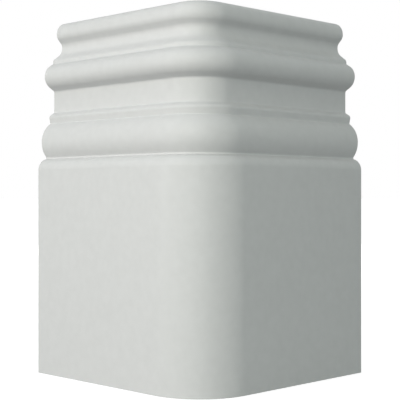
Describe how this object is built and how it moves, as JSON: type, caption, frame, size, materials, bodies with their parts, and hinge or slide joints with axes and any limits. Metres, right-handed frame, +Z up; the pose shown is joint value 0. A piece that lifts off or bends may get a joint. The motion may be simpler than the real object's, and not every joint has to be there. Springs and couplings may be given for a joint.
{
  "type": "baseboard outside corner block",
  "caption": "Moulded corner block that carries a tall baseboard round an outside wall corner on a soft radius, with butt ends for the boards on both sides.",
  "frame": {"origin": "the foot of the wall's outside corner edge: where both wall planes meet the floor, in the block's inner corner", "axes": "+Z up along the wall's corner edge; +X and +Y run along the two walls, from the corner towards the block's butt ends; the wall fills the quadrant between them, so the moulded faces look along -X and -Y"},
  "size_m": [0.1275, 0.1275, 0.1969],
  "materials": {
    "primed_moulding": "smooth factory primer, matt off-white, ready to paint"
  },
  "bodies": {
    "root": {"corner_block": "primed_moulding"}
  },
  "joints": []
}
